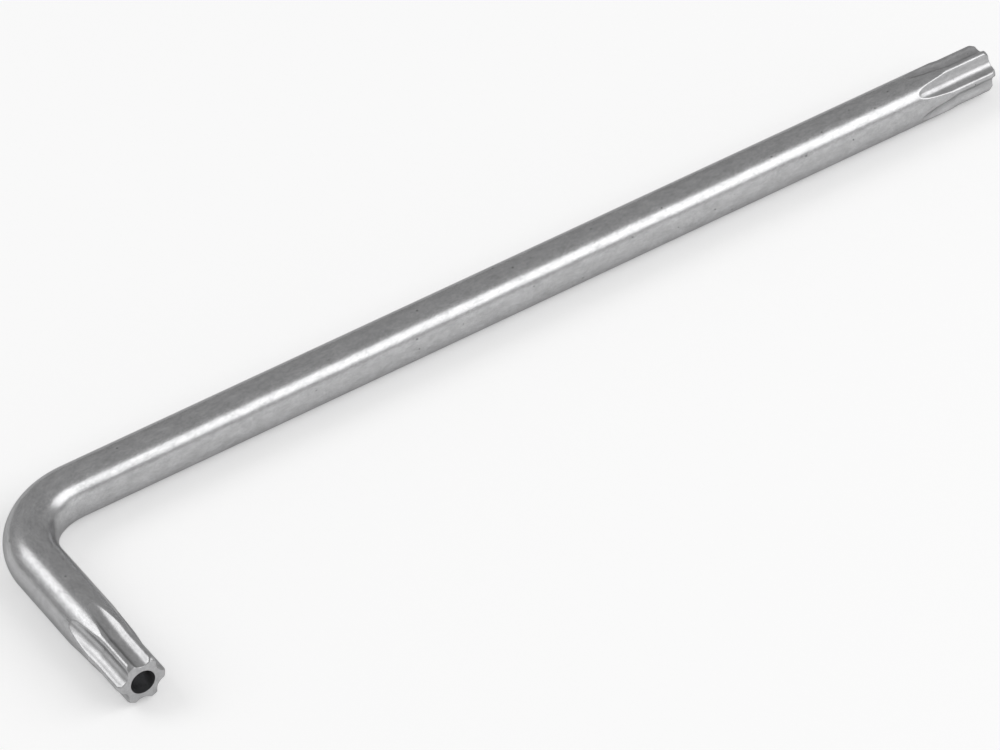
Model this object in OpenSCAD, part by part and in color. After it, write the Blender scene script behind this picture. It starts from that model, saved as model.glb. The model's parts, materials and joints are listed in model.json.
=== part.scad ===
// Star key: an L-shaped six-lobe key for tamper-proof screws.
// One round steel bar, bent once. Both ends have six lobes and a bore
// that clears the pin in the middle of a tamper-proof screw's recess.
// The key lies flat: long arm along +X, short arm along -Y, +Z up.
// The origin is under the middle of its outline, at the height it rests on.
// All sizes are in millimetres.

/* [Bar] */
// Diameter of the round bar
bar_d = 7; // [6.8:0.1:8]
// Length of the long arm over all, from the back of the bend to its end
long_arm_len = 156; // [100:1:240]
// Length of the short arm over all, from the back of the bend to its end
short_arm_len = 39; // [36:0.5:80]
// Radius on the inside of the bend
bend_inner_r = 6.5; // [5:0.5:12]

/* [Star ends] */
// Size across the points of opposite lobes
star_point_d = 6.75; // [6.5:0.05:6.8]
// Size across the valleys between the lobes
star_valley_d = 4.85; // [4.7:0.05:5]
// Rounding along the crest of each lobe
crest_r = 0.55; // [0.5:0.01:0.6]
// Length of the lobes at their full depth
star_len = 6.5; // [6.5:0.5:12]
// Length over which the flutes run out into the bar
runout_len = 6; // [3:0.5:8]
// Chamfer on the ends of the lobes
end_chamfer = 0.45; // [0.1:0.05:0.8]
// Turn of the long arm's lobes about its axis, in degrees
long_star_turn = 17; // [0:1:60]
// Turn of the short arm's lobes about its axis, in degrees
short_star_turn = 55; // [0:1:60]

/* [Pin bores] */
// Diameter of the bore that clears the screw's pin
bore_d = 3.3; // [2.5:0.1:3.6]
// Depth of the bore at its full diameter
bore_depth = 4.5; // [3:0.5:5]
// Angle of the drill point at the bottom of the bore, in degrees
drill_angle = 118; // [90:2:140]

/* [Hidden] */
$fn = 96;
lobes = 6;
lobe_pitch = 360 / lobes;
// Length by which a cutting shape runs past what it cuts
overrun = 1;
// How far a flute's cutter reaches past the crests at its sides, in degrees
crest_overlap_angle = 3;

bar_r = bar_d / 2;
bend_r = bend_inner_r + bar_r;
// Distances from the corner where the two axes cross to the ends of the arms
long_end = long_arm_len - bar_r;
short_end = short_arm_len - bar_r;
// Place of that corner, with the origin under the middle of the outline
corner = [(bar_r - long_end) / 2, (short_end - bar_r) / 2, bar_r];

// The outline of a lobe is an arc about the crest centre, tangent to the
// arcs of the flutes beside it, which lie half a pitch away
crest_c = star_point_d / 2 - crest_r;
valley_r = star_valley_d / 2;
half_pitch_cos = cos(lobe_pitch / 2);
flute_r = (crest_c * crest_c + valley_r * valley_r - crest_r * crest_r
           - 2 * crest_c * valley_r * half_pitch_cos)
          / (2 * (crest_r + crest_c * half_pitch_cos - valley_r));
flute_c = valley_r + flute_r;
flute_place = flute_c * [half_pitch_cos, sin(lobe_pitch / 2)];
tangent_step = (flute_place - [crest_c, 0]) * crest_r / (crest_r + flute_r);
tangent_point = [crest_c, 0] + tangent_step;

// The flutes climb from their full depth to the surface of the bar
flute_depth = bar_r - valley_r;
runout_angle = atan(flute_depth / runout_len);
runout_travel = runout_len / cos(runout_angle);

function turned(p, a) = [p.x * cos(a) - p.y * sin(a), p.x * sin(a) + p.y * cos(a)];

// Places a shape whose +Z runs out along the long arm from the corner
module along_long_arm(start) {
    translate(corner + [start, 0, 0]) rotate([0, 90, 0]) children();
}

// Places a shape whose +Z runs out along the short arm from the corner
module along_short_arm(start) {
    translate(corner - [0, start, 0]) rotate([90, 0, 0]) children();
}

// The six-lobe outline, with one lobe along +X
module star_outline() {
    difference() {
        union() {
            polygon([for (i = [0 : lobes - 1], side = [-1, 1])
                turned([tangent_point.x, side * tangent_point.y], i * lobe_pitch)]);
            for (i = [0 : lobes - 1])
                rotate(i * lobe_pitch) translate([crest_c, 0]) circle(r = crest_r);
        }
        for (i = [0 : lobes - 1])
            rotate((i + 0.5) * lobe_pitch) translate([flute_c, 0]) circle(r = flute_r);
    }
}

// The section of what is cut away between two lobes, with the flute along +X
module flute_section() {
    reach = bar_d;
    half_width = reach * tan(lobe_pitch / 2 + crest_overlap_angle);
    difference() {
        polygon([[0, 0], [reach, -half_width], [reach, half_width]]);
        rotate(lobe_pitch / 2) star_outline();
    }
}

// Six cutters that climb out of the bar, with full depth at z = 0
module runouts(turn) {
    for (i = [0 : lobes - 1])
        rotate(turn + (i + 0.5) * lobe_pitch)
            translate([valley_r, 0, 0]) rotate([0, -runout_angle, 0])
                translate([-valley_r, 0, -runout_travel - overrun])
                    linear_extrude(runout_travel + 2 * overrun) flute_section();
}

// A straight arm of the bar, which ends where its flutes reach full depth
module arm_bar(len, turn) {
    difference() {
        cylinder(h = len, r = bar_r);
        translate([0, 0, len]) runouts(turn);
    }
}

// A star end with its chamfer and its bore, from z = 0 to its end face
module star_end(turn) {
    point_len = bore_d / 2 / tan(drill_angle / 2);
    difference() {
        intersection() {
            rotate(turn) linear_extrude(star_len) star_outline();
            union() {
                cylinder(h = star_len - end_chamfer, r = bar_r);
                translate([0, 0, star_len - end_chamfer - (bar_r - star_point_d / 2)])
                    cylinder(h = bar_r, r1 = bar_r, r2 = 0);
            }
        }
        translate([0, 0, star_len - bore_depth]) cylinder(h = bore_depth + overrun, d = bore_d);
        translate([0, 0, star_len - bore_depth - point_len])
            cylinder(h = point_len, r1 = 0, r2 = bore_d / 2);
    }
}

module long_arm() {
    color("silver") along_long_arm(bend_r) arm_bar(long_end - star_len - bend_r, long_star_turn);
}

module short_arm() {
    color("silver") along_short_arm(bend_r) arm_bar(short_end - star_len - bend_r, short_star_turn);
}

module elbow() {
    color("silver") translate(corner + [bend_r, -bend_r, 0])
        rotate_extrude(angle = 90, start = 90) translate([bend_r, 0]) circle(r = bar_r);
}

module long_arm_star() {
    color("silver") along_long_arm(long_end - star_len) star_end(long_star_turn);
}

module short_arm_star() {
    color("silver") along_short_arm(short_end - star_len) star_end(short_star_turn);
}

long_arm();
elbow();
short_arm();
long_arm_star();
short_arm_star();
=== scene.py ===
import json
import math

import bpy
from mathutils import Euler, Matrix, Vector


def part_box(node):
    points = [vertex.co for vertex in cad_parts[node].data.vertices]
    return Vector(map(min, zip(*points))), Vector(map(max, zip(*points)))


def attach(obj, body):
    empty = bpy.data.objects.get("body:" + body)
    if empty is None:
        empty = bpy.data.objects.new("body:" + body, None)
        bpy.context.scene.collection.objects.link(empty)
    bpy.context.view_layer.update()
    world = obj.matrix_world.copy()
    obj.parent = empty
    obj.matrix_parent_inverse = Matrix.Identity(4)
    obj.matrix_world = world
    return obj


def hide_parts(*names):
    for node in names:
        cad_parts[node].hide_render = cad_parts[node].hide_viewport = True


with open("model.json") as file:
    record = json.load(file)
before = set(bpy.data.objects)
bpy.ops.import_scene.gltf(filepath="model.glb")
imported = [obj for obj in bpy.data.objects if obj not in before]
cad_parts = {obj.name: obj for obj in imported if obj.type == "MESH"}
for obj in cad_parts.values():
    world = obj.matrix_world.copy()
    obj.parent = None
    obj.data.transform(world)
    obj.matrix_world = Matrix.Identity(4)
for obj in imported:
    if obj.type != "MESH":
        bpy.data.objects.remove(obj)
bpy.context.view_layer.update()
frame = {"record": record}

# Elbow
# The key is one steel bar, bent once, cold, round a former. The elbow is the
# quarter turn between the arms, still round all along, and plated with them
# in satin chrome. Nothing is fixed to it: the arms run on from its two ends.
MM = 0.001
mount_dims = {mount["name"]: mount["dims"] for mount in frame["record"]["mounts"]}
BAR_RADIUS = mount_dims["long_arm_shank"]["r_mm"] * MM
BEND_RADIUS = 10 * MM
BAR_COLUMNS = 360
BEND_STEPS = 120
QUARTER_TURN = math.pi / 2
DOUBLES_DISTANCE = 0.0001 * MM

elbow_low, elbow_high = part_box("elbow")
AXES_CORNER = Vector((elbow_low.x + BAR_RADIUS, elbow_high.y - BAR_RADIUS, BAR_RADIUS))
BEND_CENTRE = AXES_CORNER + Vector((BEND_RADIUS, -BEND_RADIUS, 0))


def deselect_everything():
    """Leaves object mode on, and nothing selected."""
    if bpy.context.object and bpy.context.object.mode != "OBJECT":
        bpy.ops.object.mode_set(mode="OBJECT")
    bpy.ops.object.select_all(action="DESELECT")


def make_active(piece):
    """Selects one piece alone."""
    deselect_everything()
    bpy.context.view_layer.objects.active = piece
    piece.select_set(True)


def put_place_into_mesh(piece):
    """Applies a piece's place and turn, so that its object sits at the origin."""
    make_active(piece)
    bpy.ops.object.transform_apply(location=True, rotation=True, scale=True)


def open_for_editing(piece):
    """Turns edit mode on for one piece, with none of its vertices selected."""
    make_active(piece)
    bpy.ops.object.mode_set(mode="EDIT")
    bpy.ops.mesh.select_mode(type="VERT")
    bpy.ops.mesh.select_all(action="DESELECT")


def select_vertices(piece, wanted):
    """Selects the vertices whose place passes the test, while the piece is edited."""
    bpy.ops.mesh.select_mode(type="VERT")
    bpy.ops.mesh.select_all(action="DESELECT")
    bpy.ops.object.mode_set(mode="OBJECT")
    for vertex in piece.data.vertices:
        vertex.select = wanted(vertex.co)
    bpy.ops.object.mode_set(mode="EDIT")


# A ring of the bar is spun a quarter turn about the centre of the bend, and closed
# with a face at each end.
deselect_everything()
bpy.ops.mesh.primitive_circle_add(
    vertices=BAR_COLUMNS, radius=BAR_RADIUS,
    location=AXES_CORNER + Vector((BEND_RADIUS, 0, 0)), rotation=(0, QUARTER_TURN, 0))
elbow = bpy.context.object
put_place_into_mesh(elbow)
open_for_editing(elbow)
bpy.ops.mesh.select_all(action="SELECT")
bpy.ops.mesh.spin(steps=BEND_STEPS, angle=-QUARTER_TURN, center=BEND_CENTRE, axis=(0, 0, 1))
bpy.ops.mesh.edge_face_add()
select_vertices(elbow, lambda place: place.x > BEND_CENTRE.x - DOUBLES_DISTANCE)
bpy.ops.mesh.edge_face_add()

# Satin chrome plate over drawn steel: a neutral, slightly blurred mirror, darker
# where it is seen at a slant. The steel is duller where it is pressed below the
# bar's round surface, so the glints on the lobes and in the flutes are softer.
BAR_ROUGHNESS = 0.26
PRESSED_ROUGHNESS = 0.33
PRESSED_DEPTH = 0.06 * MM
SLANT_TINT = 0.6

# The plate is mottled, and has a few tiny pits with no relief: each pit is only a dark spot,
# painted shade where its hollow would be. A cell of the pattern has a pit where its random value is
# above the cut-off.
MOTTLE_SIZE = 1.2 * MM
MOTTLE_STRETCH = 0.5
MOTTLE_DETAIL = 5
MOTTLE_ROUGHNESS = 0.95
DULL_PLATE = "#868687"
BRIGHT_PLATE = "#E6E6E7"
PIT_SPACING = 1.5 * MM
PIT_RADIUS = 0.14 * MM
PIT_CUT_OFF = 0.65
PAINTED_PIT_SHADE = "#4A4A4B"

# Long shallow waves run along the bar and round the bend with it, with draw lines
# and a grain on them, so the highlights waver and their edges fray. Real draw lines
# and grain are about 0.05 mm wide, too fine to show, so both are drawn coarser.
WAVE_WIDTH = 0.9 * MM
WAVE_STRETCH = 0.4
WAVE_RELIEF = 0.0025 * MM
DRAW_LINE_SPACING = 0.3 * MM
DRAW_LINE_STRETCH = 0.08
DRAW_LINE_RELIEF = 0.002 * MM
GRAIN_SIZE = 0.25 * MM
GRAIN_RELIEF = 0.006 * MM
RELIEF_DETAIL = 2


def linear(hex_colour):
    """An sRGB colour such as #C0C0C0 as the linear red, green, blue and alpha that nodes take."""
    parts = [int(hex_colour[i:i + 2], 16) / 255 for i in (1, 3, 5)]
    return [p / 12.92 if p <= 0.04045 else ((p + 0.055) / 1.055) ** 2.4 for p in parts] + [1]


def add_node(tree, kind, inputs=None, **settings):
    """A node with its settings made, and its inputs set to values or linked to other outputs."""
    made = tree.nodes.new(kind)
    for name, value in settings.items():
        setattr(made, name, value)
    for name, value in (inputs or {}).items():
        if isinstance(value, bpy.types.NodeSocket):
            tree.links.new(value, made.inputs[name])
        else:
            made.inputs[name].default_value = value
    return made


satin_chrome = bpy.data.materials.new("satin_chrome_plate")
satin_chrome.use_nodes = True
chrome_nodes = satin_chrome.node_tree
chrome_shader = chrome_nodes.nodes["Principled BSDF"]
chrome_shader.inputs["Metallic"].default_value = 1
chrome_shader.inputs["Specular Tint"].default_value = (SLANT_TINT, SLANT_TINT, SLANT_TINT, 1)

# Every pattern follows the places that the bar's surface had before the bend.
straight_bar = add_node(chrome_nodes, "ShaderNodeAttribute", attribute_name="straight_bar")
across_bar = add_node(chrome_nodes, "ShaderNodeMapping", {
    "Vector": straight_bar.outputs["Vector"],
    "Location": (0, 0, -BAR_RADIUS), "Scale": (0, 1, 1)})
from_axis = add_node(chrome_nodes, "ShaderNodeVectorMath", {
    0: across_bar.outputs["Vector"]}, operation="LENGTH")
roughness = add_node(chrome_nodes, "ShaderNodeMapRange", {
    "Value": from_axis.outputs["Value"],
    "From Min": BAR_RADIUS - PRESSED_DEPTH, "From Max": BAR_RADIUS,
    "To Min": PRESSED_ROUGHNESS, "To Max": BAR_ROUGHNESS})
chrome_nodes.links.new(roughness.outputs["Result"], chrome_shader.inputs["Roughness"])

mottle_place = add_node(chrome_nodes, "ShaderNodeMapping", {
    "Vector": straight_bar.outputs["Vector"], "Scale": (MOTTLE_STRETCH, 1, 1)})
mottle = add_node(chrome_nodes, "ShaderNodeTexNoise", {
    "Vector": mottle_place.outputs["Vector"], "Scale": 1 / MOTTLE_SIZE,
    "Detail": MOTTLE_DETAIL, "Roughness": MOTTLE_ROUGHNESS})
mottled_plate = add_node(chrome_nodes, "ShaderNodeMix", {
    "Factor": mottle.outputs["Fac"],
    "A": linear(DULL_PLATE), "B": linear(BRIGHT_PLATE)}, data_type="RGBA")
pit_cells = add_node(chrome_nodes, "ShaderNodeTexVoronoi", {
    "Vector": straight_bar.outputs["Vector"], "Scale": 1 / PIT_SPACING})
near_pit = add_node(chrome_nodes, "ShaderNodeMapRange", {
    "Value": pit_cells.outputs["Distance"],
    "From Min": PIT_RADIUS / PIT_SPACING, "From Max": PIT_RADIUS / PIT_SPACING / 2})
few_cells = add_node(chrome_nodes, "ShaderNodeMath", {
    0: pit_cells.outputs["Color"], 1: PIT_CUT_OFF}, operation="GREATER_THAN")
painted_pit_shade = add_node(chrome_nodes, "ShaderNodeMath", {
    0: near_pit.outputs["Result"], 1: few_cells.outputs["Value"]}, operation="MULTIPLY")
# Painted shade: the plate's colour is darkened at each pit, in place of a hollow.
plate_with_pit_shade = add_node(chrome_nodes, "ShaderNodeMix", {
    "Factor": painted_pit_shade.outputs["Value"],
    "A": mottled_plate.outputs["Result"], "B": linear(PAINTED_PIT_SHADE)}, data_type="RGBA")
chrome_nodes.links.new(plate_with_pit_shade.outputs["Result"], chrome_shader.inputs["Base Color"])

relief = None
for size, stretch, height in (
        (WAVE_WIDTH, WAVE_STRETCH, WAVE_RELIEF),
        (DRAW_LINE_SPACING, DRAW_LINE_STRETCH, DRAW_LINE_RELIEF),
        (GRAIN_SIZE, 1, GRAIN_RELIEF)):
    stretched = add_node(chrome_nodes, "ShaderNodeMapping", {
        "Vector": straight_bar.outputs["Vector"], "Scale": (stretch, 1, 1)})
    unevenness = add_node(chrome_nodes, "ShaderNodeTexNoise", {
        "Vector": stretched.outputs["Vector"], "Scale": 1 / size, "Detail": RELIEF_DETAIL})
    bump_inputs = {"Height": unevenness.outputs["Fac"], "Strength": 1, "Distance": height}
    if relief:
        bump_inputs["Normal"] = relief.outputs["Normal"]
    relief = add_node(chrome_nodes, "ShaderNodeBump", bump_inputs)
chrome_nodes.links.new(relief.outputs["Normal"], chrome_shader.inputs["Normal"])

# The five zones of the bar are finished alike, each in place of its own solid.
SMOOTH_ANGLE = math.radians(35)


def straightened(place):
    """A point of the key before the bend, as its distance along the bar and its section."""
    if place.x >= BEND_CENTRE.x:
        return Vector((place.x - BEND_CENTRE.x, place.y - AXES_CORNER.y, place.z))
    if place.y <= BEND_CENTRE.y:
        bend_length = BEND_RADIUS * QUARTER_TURN
        return Vector((place.y - BEND_CENTRE.y - bend_length, AXES_CORNER.x - place.x, place.z))
    from_centre = place - BEND_CENTRE
    angle = math.atan2(-from_centre.x, from_centre.y)
    return Vector((-angle * BEND_RADIUS, from_centre.xy.length - BEND_RADIUS, place.z))


def finish_zone(piece, name, node):
    """Cleans one zone of the bar, stores its straight-bar places, and stands it for its solid."""
    piece.name = name
    open_for_editing(piece)
    bpy.ops.mesh.select_all(action="SELECT")
    bpy.ops.mesh.remove_doubles(threshold=DOUBLES_DISTANCE)
    bpy.ops.mesh.normals_make_consistent(inside=False)
    put_place_into_mesh(piece)
    bpy.ops.object.shade_smooth_by_angle(angle=SMOOTH_ANGLE)
    places = piece.data.attributes.new("straight_bar", "FLOAT_VECTOR", "POINT")
    for vertex, stored in zip(piece.data.vertices, places.data):
        stored.vector = straightened(vertex.co)
    if not piece.data.materials:
        piece.data.materials.append(satin_chrome)
    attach(piece, "root")
    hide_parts(node)


finish_zone(elbow, "elbow_bar", "elbow")

# Fluted ends
# A press sinks six flutes into each end of the bar, which leaves the six lobes
# of the star. The flutes climb out of the steel behind it, with edges rolled
# over. The end is faced, chamfered and drilled before the bar is plated.
STAR_POINT_RADIUS = 3.375 * MM
STAR_VALLEY_RADIUS = 2.425 * MM
CREST_RADIUS = 0.55 * MM
LOBE_PITCH = math.radians(60)

long_star_low, long_star_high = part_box("long_arm_star")
STAR_LENGTH = long_star_high.x - long_star_low.x

# The outline is made of arcs. Each flute's arc is tangent to the arcs of the two
# crests beside it, which lie half a pitch away.
crest_centre = STAR_POINT_RADIUS - CREST_RADIUS
half_pitch = LOBE_PITCH / 2
flute_radius = (
    crest_centre ** 2 + STAR_VALLEY_RADIUS ** 2 - CREST_RADIUS ** 2
    - 2 * crest_centre * STAR_VALLEY_RADIUS * math.cos(half_pitch)
) / (2 * (CREST_RADIUS + crest_centre * math.cos(half_pitch) - STAR_VALLEY_RADIUS))
flute_centre = STAR_VALLEY_RADIUS + flute_radius


def fluted_radius(angle, lift):
    """From the axis to the pressed surface, with a crest at angle 0 and the tool lifted by lift."""
    from_flute = abs((angle % LOBE_PITCH) - half_pitch)
    ray = Vector((math.cos(from_flute), math.sin(from_flute)))
    flute = Vector((flute_centre + lift, 0))
    crest = Vector((crest_centre * math.cos(half_pitch) + lift,
                    crest_centre * math.sin(half_pitch)))
    meeting = crest + (flute - crest) * CREST_RADIUS / (CREST_RADIUS + flute_radius)
    on_flute = from_flute < math.atan2(meeting.y, meeting.x)
    centre, radius, side = (flute, flute_radius, -1) if on_flute else (crest, CREST_RADIUS, 1)
    along = centre.dot(ray)
    inside = radius ** 2 - centre.length_squared + along ** 2
    if inside < 0:
        return BAR_RADIUS
    return min(BAR_RADIUS, along + side * math.sqrt(inside))


# The end is modelled once, standing on +Z with z = 0 where the star begins. Its
# rings are close together where the flutes climb out and at the chamfer, and none
# lies at z = 0, where the end is cut in two.
END_CHAMFER = 0.45 * MM
END_ROUNDING = 0.12 * MM
ROW_SPACING = 0.06 * MM
ROWS_BEHIND = 118
ROWS_AHEAD = 20
WIDE_ROWS = 38
ROWS_AT_END = 16

first_row = -(ROWS_BEHIND + 0.5) * ROW_SPACING
chamfer_start = STAR_LENGTH - END_CHAMFER
rounding_start = STAR_LENGTH - END_ROUNDING
steps_up = [ROW_SPACING] * (ROWS_BEHIND + 1 + ROWS_AHEAD)
end_stretch = 2 * END_CHAMFER
end_step = end_stretch / ROWS_AT_END
wide_stretch = rounding_start - end_step * ROWS_AT_END - first_row - sum(steps_up)
steps_up += [wide_stretch / WIDE_ROWS] * WIDE_ROWS + [end_step] * ROWS_AT_END

deselect_everything()
bpy.ops.mesh.primitive_circle_add(
    vertices=BAR_COLUMNS, radius=BAR_RADIUS, location=(0, 0, first_row))
fluted_end = bpy.context.object
put_place_into_mesh(fluted_end)
open_for_editing(fluted_end)
bpy.ops.mesh.select_all(action="SELECT")
for step in steps_up:
    bpy.ops.mesh.extrude_region_move(TRANSFORM_OT_translate={"value": (0, 0, step)})
bpy.ops.object.mode_set(mode="OBJECT")

# The flutes are at full depth just inside the star, and climb on a curve to their
# noses. The corners between the lobes and the chamfer are worn round.
NOSE_FROM_SEAM = 6 * MM
CLIMB_START = 0.5 * MM
CLIMB_POWER = 0.7
LOBE_CORNER_ROUNDING = 0.35 * MM


def eased_minimum(pressed, chamfered):
    """The smaller of the two radii, with the corner between them rounded."""
    share = max(0, min(1, 0.5 + (chamfered - pressed) / (2 * LOBE_CORNER_ROUNDING)))
    return (share * pressed + (1 - share) * chamfered
            - LOBE_CORNER_ROUNDING * share * (1 - share))


for vertex in fluted_end.data.vertices:
    from_nose = max(0, vertex.co.z + NOSE_FROM_SEAM) / (CLIMB_START + NOSE_FROM_SEAM)
    lift = (BAR_RADIUS - STAR_VALLEY_RADIUS) * (1 - min(1, from_nose) ** CLIMB_POWER)
    pressed = fluted_radius(math.atan2(vertex.co.y, vertex.co.x), lift)
    chamfered = STAR_POINT_RADIUS + chamfer_start - vertex.co.z
    vertex.co.xy = vertex.co.xy.normalized() * eased_minimum(pressed, chamfered)

# The press rolls every edge of the flutes over, and leaves the bar behind them round.
ROLLED_EDGE_PASSES = 16
ROLLING_FADE_BEHIND = 1 * MM
ROLLING_FADE_AT_END = END_CHAMFER / 3

rolled = fluted_end.vertex_groups.new(name="rolled_edges")
for vertex in fluted_end.data.vertices:
    fade_in = (vertex.co.z - first_row) / ROLLING_FADE_BEHIND
    fade_out = (rounding_start - vertex.co.z) / ROLLING_FADE_AT_END
    rolled.add([vertex.index], max(0, min(1, fade_in, fade_out)), "REPLACE")
rolling = fluted_end.modifiers.new("rolled_edges", "SMOOTH")
rolling.vertex_group = rolled.name
rolling.use_z = False
rolling.iterations = ROLLED_EDGE_PASSES
make_active(fluted_end)
bpy.ops.object.modifier_apply(modifier=rolling.name)

# The end face is flat inside a rounded outline. Narrow rings hold its corners.
ROUNDING_STEPS = 4
HOLDING_WIDTH = 0.03 * MM


def draw_in(height, shrink):
    """Extrudes the open end's ring upwards, and moves it towards the axis by shrink."""
    bpy.ops.mesh.extrude_region_move(TRANSFORM_OT_translate={"value": (0, 0, height)})
    bpy.ops.object.mode_set(mode="OBJECT")
    for vertex in fluted_end.data.vertices:
        if vertex.select:
            vertex.co.xy -= vertex.co.xy.normalized() * shrink
    bpy.ops.object.mode_set(mode="EDIT")


open_for_editing(fluted_end)
select_vertices(fluted_end, lambda place: place.z > rounding_start - DOUBLES_DISTANCE)
round_places = [QUARTER_TURN * i / ROUNDING_STEPS for i in range(ROUNDING_STEPS + 1)]
for before, after in zip(round_places, round_places[1:]):
    draw_in(END_ROUNDING * (math.sin(after) - math.sin(before)),
            END_ROUNDING * (math.cos(before) - math.cos(after)))
draw_in(0, HOLDING_WIDTH)

# The bore is a drilled hole with a broken rim and a drill point.
BORE_RADIUS = mount_dims["long_arm_pin_bore"]["r_mm"] * MM
BORE_DEPTH = mount_dims["long_arm_pin_bore"]["length_mm"] * MM
BORE_RIM = 0.06 * MM
RIM_SHORT_SHARE = 0.3
RIM_LONG_SHARE = 0.7
DRILL_HALF_ANGLE = math.radians(59)

bpy.ops.mesh.extrude_region_move(TRANSFORM_OT_translate={"value": (0, 0, 0)})
bpy.ops.object.mode_set(mode="OBJECT")
for vertex in fluted_end.data.vertices:
    if vertex.select:
        vertex.co.xy = vertex.co.xy.normalized() * (BORE_RADIUS + BORE_RIM + HOLDING_WIDTH)
bpy.ops.object.mode_set(mode="EDIT")
draw_in(0, HOLDING_WIDTH)
draw_in(-BORE_RIM * RIM_SHORT_SHARE, BORE_RIM * RIM_LONG_SHARE)
draw_in(-BORE_RIM * RIM_LONG_SHARE, BORE_RIM * RIM_SHORT_SHARE)
draw_in(-HOLDING_WIDTH, 0)
draw_in(2 * HOLDING_WIDTH + BORE_RIM - BORE_DEPTH, 0)
draw_in(-HOLDING_WIDTH, 0)
bpy.ops.mesh.extrude_region_move(TRANSFORM_OT_translate={
    "value": (0, 0, -BORE_RADIUS / math.tan(DRILL_HALF_ANGLE))})
bpy.ops.mesh.merge(type="CENTER")

# Drilled steel: the plate hardly reaches into the bore, so it is darker, and dull
# glints come back from the drill's turning marks. Real marks are about 0.1 mm
# apart, too fine to show, so these are drawn coarser, and narrowest along the bar.
DRILLED_GREY = "#ACACAE"
DRILLED_ROUGHNESS = 0.42
DRILL_MARK_SIZE = 1 * MM
DRILL_MARK_NARROWING = 3
DRILL_MARK_RELIEF = 0.05 * MM
DRILL_MARK_DETAIL = 2

drilled_steel = bpy.data.materials.new("drilled_steel")
drilled_steel.use_nodes = True
drilled_nodes = drilled_steel.node_tree
drilled_shader = drilled_nodes.nodes["Principled BSDF"]
drilled_shader.inputs["Base Color"].default_value = linear(DRILLED_GREY)
drilled_shader.inputs["Metallic"].default_value = 1
drilled_shader.inputs["Roughness"].default_value = DRILLED_ROUGHNESS
drilled_place = add_node(drilled_nodes, "ShaderNodeAttribute", attribute_name="straight_bar")
narrowed = add_node(drilled_nodes, "ShaderNodeMapping", {
    "Vector": drilled_place.outputs["Vector"], "Scale": (DRILL_MARK_NARROWING, 1, 1)})
drill_marks = add_node(drilled_nodes, "ShaderNodeTexNoise", {
    "Vector": narrowed.outputs["Vector"], "Scale": 1 / DRILL_MARK_SIZE,
    "Detail": DRILL_MARK_DETAIL})
drill_relief = add_node(drilled_nodes, "ShaderNodeBump", {
    "Height": drill_marks.outputs["Fac"], "Strength": 1, "Distance": DRILL_MARK_RELIEF})
drilled_nodes.links.new(drill_relief.outputs["Normal"], drilled_shader.inputs["Normal"])

bpy.ops.object.mode_set(mode="OBJECT")
fluted_end.data.materials.append(satin_chrome)
fluted_end.data.materials.append(drilled_steel)
for face in fluted_end.data.polygons:
    in_bore = face.center.xy.length < BORE_RADIUS and face.center.z < STAR_LENGTH - BORE_RIM
    face.material_index = 1 if in_bore else 0

# Arms and star ends
# Each arm is the plain bar from the bend to the flutes' full depth, and each
# star is the fluted and bored stretch that enters the screw. All four are the
# same bar, so they meet face to face, and the short arm differs in its length.
LONG_STAR_TURN = math.radians(17)
SHORT_STAR_TURN = math.radians(55)
ALONG_X = (0, QUARTER_TURN, 0)
ALONG_MINUS_Y = (QUARTER_TURN, 0, 0)

short_star_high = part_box("short_arm_star")[1]
long_seam = Vector((long_star_low.x, AXES_CORNER.y, AXES_CORNER.z))
short_seam = Vector((AXES_CORNER.x, short_star_high.y, AXES_CORNER.z))


def copy_of(piece, turn):
    """A copy of a piece with its own mesh, turned about Z."""
    make_active(piece)
    bpy.ops.object.duplicate()
    made = bpy.context.object
    made.rotation_euler.z = turn
    put_place_into_mesh(made)
    return made


def cut_at_seam(piece, keep_star):
    """Keeps the star or the bar behind it, closed where the two meet."""
    open_for_editing(piece)
    bpy.ops.mesh.select_all(action="SELECT")
    bpy.ops.mesh.bisect(plane_co=(0, 0, 0), plane_no=(0, 0, 1), threshold=DOUBLES_DISTANCE,
                        use_fill=True, clear_inner=keep_star, clear_outer=not keep_star)
    bpy.ops.object.mode_set(mode="OBJECT")


for arm_name, turn, way, seam in (
        ("long_arm", LONG_STAR_TURN, ALONG_X, long_seam),
        ("short_arm", SHORT_STAR_TURN, ALONG_MINUS_Y, short_seam)):
    star = copy_of(fluted_end, turn)
    cut_at_seam(star, keep_star=True)
    arm = copy_of(fluted_end, turn)
    cut_at_seam(arm, keep_star=False)
    # The ring that the end began with is drawn back to the bend, and closed.
    arm_length = (seam - AXES_CORNER).length - BEND_RADIUS
    open_for_editing(arm)
    select_vertices(arm, lambda place: place.z < first_row + ROW_SPACING / 2)
    bpy.ops.mesh.extrude_region_move(
        TRANSFORM_OT_translate={"value": (0, 0, -arm_length - first_row)})
    bpy.ops.mesh.edge_face_add()
    bpy.ops.object.mode_set(mode="OBJECT")
    for piece in (arm, star):
        piece.rotation_euler = Euler(way)
        piece.location = seam
    finish_zone(arm, arm_name + "_bar", arm_name)
    finish_zone(star, arm_name + "_star_end", arm_name + "_star")
bpy.data.objects.remove(fluted_end)

# Floor
# A plain white table top, which shows the key's soft shadow. It is lifted to white
# for the camera, and for the plate that mirrors it, but casts no more light.
FLOOR_WIDTH = 8
TABLE_WHITE = "#FAFAFA"
LIFT_IN_VIEW = 0.28
LIFT_IN_PLATE = 0.15

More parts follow.
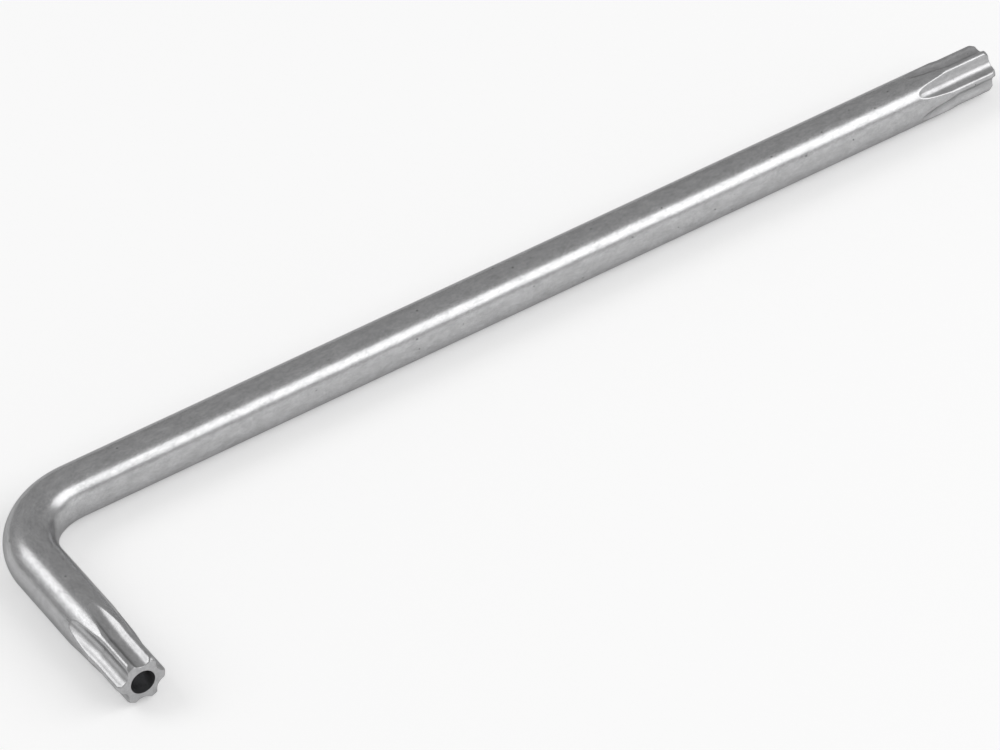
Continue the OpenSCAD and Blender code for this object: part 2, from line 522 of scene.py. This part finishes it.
deselect_everything()
bpy.ops.mesh.primitive_plane_add(size=FLOOR_WIDTH, location=(0, 0, 0))
floor = bpy.context.object
floor.name = "floor"
white_table = bpy.data.materials.new("white_table_top")
white_table.use_nodes = True
table_nodes = white_table.node_tree
table_shader = table_nodes.nodes["Principled BSDF"]
table_shader.inputs["Base Color"].default_value = linear(TABLE_WHITE)
table_shader.inputs["Roughness"].default_value = 1
table_shader.inputs["Specular IOR Level"].default_value = 0
rays = add_node(table_nodes, "ShaderNodeLightPath")
mirrored_lift = add_node(table_nodes, "ShaderNodeMath", {
    0: rays.outputs["Is Glossy Ray"], 1: LIFT_IN_PLATE}, operation="MULTIPLY")
whole_lift = add_node(table_nodes, "ShaderNodeMath", {
    0: rays.outputs["Is Camera Ray"], 1: LIFT_IN_VIEW, 2: mirrored_lift.outputs["Value"]},
    operation="MULTIPLY_ADD")
table_shader.inputs["Emission Color"].default_value = (1, 1, 1, 1)
table_nodes.links.new(whole_lift.outputs["Value"], table_shader.inputs["Emission Strength"])
floor.data.materials.append(white_table)

# Light
# A grey studio. Seen from the camera, a long softbox hangs on the right and a round
# one on the left, with a dimmer white card lower down beside each of them.
LIGHT_DISTANCE = 1.0
STUDIO_GREY = 0.42


def direction(azimuth, elevation):
    """The way to a point at an azimuth from +Y towards +X and an elevation, in degrees."""
    a, e = math.radians(azimuth), math.radians(elevation)
    return Vector((math.sin(a) * math.cos(e), math.cos(a) * math.cos(e), math.sin(e)))


def turned_to(way, roll):
    """The turn that points +Z along a way with +Y upwards, then rolled about it, in degrees."""
    upright = way.to_track_quat("Z", "Y")
    return (upright @ Euler((0, 0, math.radians(roll))).to_quaternion()).to_euler()


def add_softbox(name, azimuth, elevation, width, height, brightness, roll=0, shape="RECTANGLE"):
    """A softbox that faces the key. Brightness 1 shows in a perfect mirror as white."""
    lamp = bpy.data.lights.new(name, "AREA")
    lamp.shape = shape
    lamp.size = width
    lamp.size_y = height
    area = width * height * (math.pi / 4 if shape == "ELLIPSE" else 1)
    lamp.energy = brightness * math.pi * area
    softbox = bpy.data.objects.new(name, lamp)
    bpy.context.scene.collection.objects.link(softbox)
    way = direction(azimuth, elevation)
    softbox.location = way * LIGHT_DISTANCE
    softbox.rotation_euler = turned_to(way, roll)


add_softbox("front_softbox", azimuth=133, elevation=40, width=1.0, height=0.56,
            brightness=1.8, roll=-20)
add_softbox("back_softbox", azimuth=-41, elevation=45, width=0.55, height=0.55,
            brightness=1.7, shape="ELLIPSE")
add_softbox("front_card", azimuth=152, elevation=7, width=0.8, height=0.3, brightness=0.5)
add_softbox("side_card", azimuth=-64, elevation=30, width=0.7, height=0.35, brightness=0.75)

studio = bpy.data.worlds.new("grey_studio")
bpy.context.scene.world = studio
studio.use_nodes = True
studio_light = studio.node_tree.nodes["Background"]
studio_light.inputs["Color"].default_value = (STUDIO_GREY, STUDIO_GREY, STUDIO_GREY, 1)
studio_light.inputs["Strength"].default_value = 1

# Camera
# The photograph's own view, found from the key's outline, bend, lobes and bore. It
# looks down on the key from beyond the short arm's star, through a long lens.
CAMERA_AIM = Vector((-9.62, 1.92, 3.5)) * MM
CAMERA_DISTANCE = 623.05 * MM
CAMERA_ELEVATION = 40.125
CAMERA_AZIMUTH = -150.49
CAMERA_ROLL = -5.34
LENS_LENGTH = 175.89
SENSOR_WIDTH = 36
NEAREST_VIEW = 10 * MM

camera_data = bpy.data.cameras.new("photo_view")
camera_data.lens = LENS_LENGTH
camera_data.sensor_width = SENSOR_WIDTH
camera_data.clip_start = NEAREST_VIEW
camera = bpy.data.objects.new("photo_view", camera_data)
bpy.context.scene.collection.objects.link(camera)
back = direction(CAMERA_AZIMUTH, CAMERA_ELEVATION)
camera.location = CAMERA_AIM + back * CAMERA_DISTANCE
camera.rotation_euler = turned_to(back, CAMERA_ROLL)
bpy.context.scene.camera = camera
bpy.context.scene.view_settings.view_transform = "Standard"
